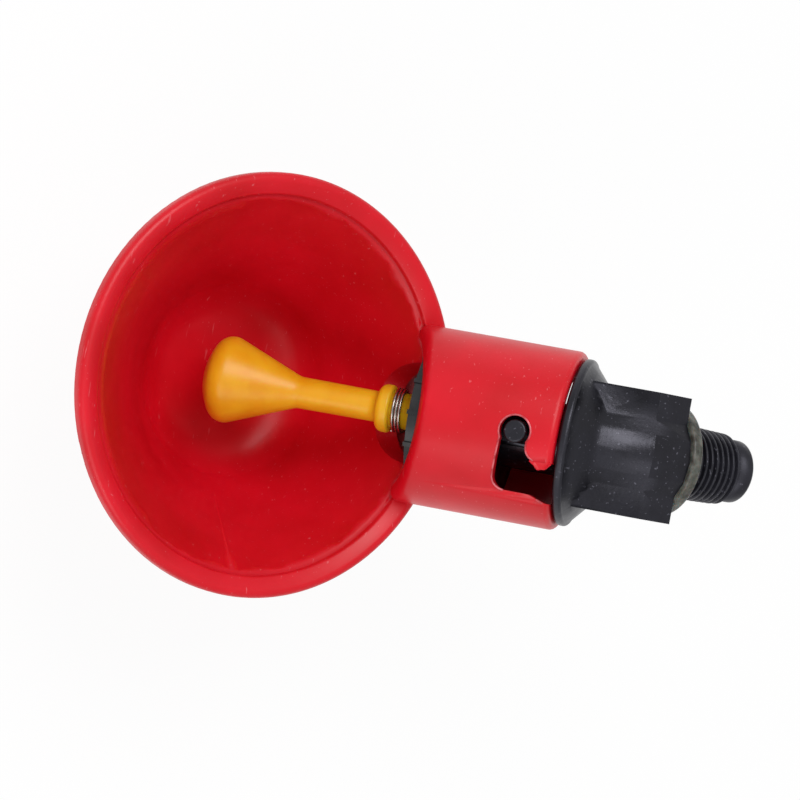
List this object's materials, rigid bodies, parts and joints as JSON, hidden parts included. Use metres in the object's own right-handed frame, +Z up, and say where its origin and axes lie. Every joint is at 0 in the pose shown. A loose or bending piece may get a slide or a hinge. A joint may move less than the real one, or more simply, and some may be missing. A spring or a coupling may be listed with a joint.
{
  "type": "poultry drinking cup",
  "caption": "Round drinking cup on an angled screw-in valve, with a sprung peck trigger that lets water into the bowl.",
  "frame": {"origin": "centre of the washer's sealing face, on the inlet thread's axis", "axes": "+Z up, square to the level rim; +Y along the inlet thread, into the pipe or tank wall; +X across"},
  "size_m": [0.0552, 0.0882, 0.0581],
  "materials": {
    "red_polypropylene": "moulded satin gloss, slightly translucent",
    "black_nylon": "moulded, satin with rough patches",
    "black_nylon_cap": "moulded satin",
    "black_rubber": "matte rubber",
    "clear_silicone": "translucent silicone, cloudy",
    "yellow_acetal": "moulded, soft sheen, slightly translucent",
    "stainless_pin": "turned",
    "spring_steel": "drawn bright wire"
  },
  "bodies": {
    "valve": {"valve_body": "black_nylon", "seat_cap": "black_nylon_cap", "cap_gasket": "black_rubber", "thread_washer": "clear_silicone"},
    "cup": {"cup": "red_polypropylene"},
    "seal": {"valve_seal": "black_rubber"},
    "spring": {"return_spring": "spring_steel"},
    "trigger": {"trigger": "yellow_acetal", "valve_pin": "stainless_pin"}
  },
  "joints": [
    {"name": "cup_twist", "type": "hinge", "parent": "valve", "child": "cup", "pos_m": [0, -0.02474, -0.01994], "axis": [0, -0.7071, -0.7071], "range_deg": [0, 31.5]},
    {"name": "trigger_push", "type": "slide", "parent": "valve", "child": "seal", "axis": [0, 0.7071, 0.7071], "range_m": [0, 0.0012], "stiffness_N_per_m": 300, "springref_m": -0.002, "deforming": ["return_spring"]},
    {"name": "trigger_swing", "type": "hinge", "parent": "seal", "child": "spring", "pos_m": [0, -0.02269, -0.01789], "axis": [0, 0.7071, -0.7071], "range_deg": [-5, 5], "stiffness_Nm_per_rad": 0.05, "deforming": ["return_spring", "valve_seal"]},
    {"name": "trigger_dip", "type": "hinge", "parent": "spring", "child": "trigger", "pos_m": [0, -0.02269, -0.01789], "axis": [1, 0, 0], "range_deg": [-8, 3], "stiffness_Nm_per_rad": 0.05, "deforming": ["return_spring", "valve_seal"]}
  ]
}
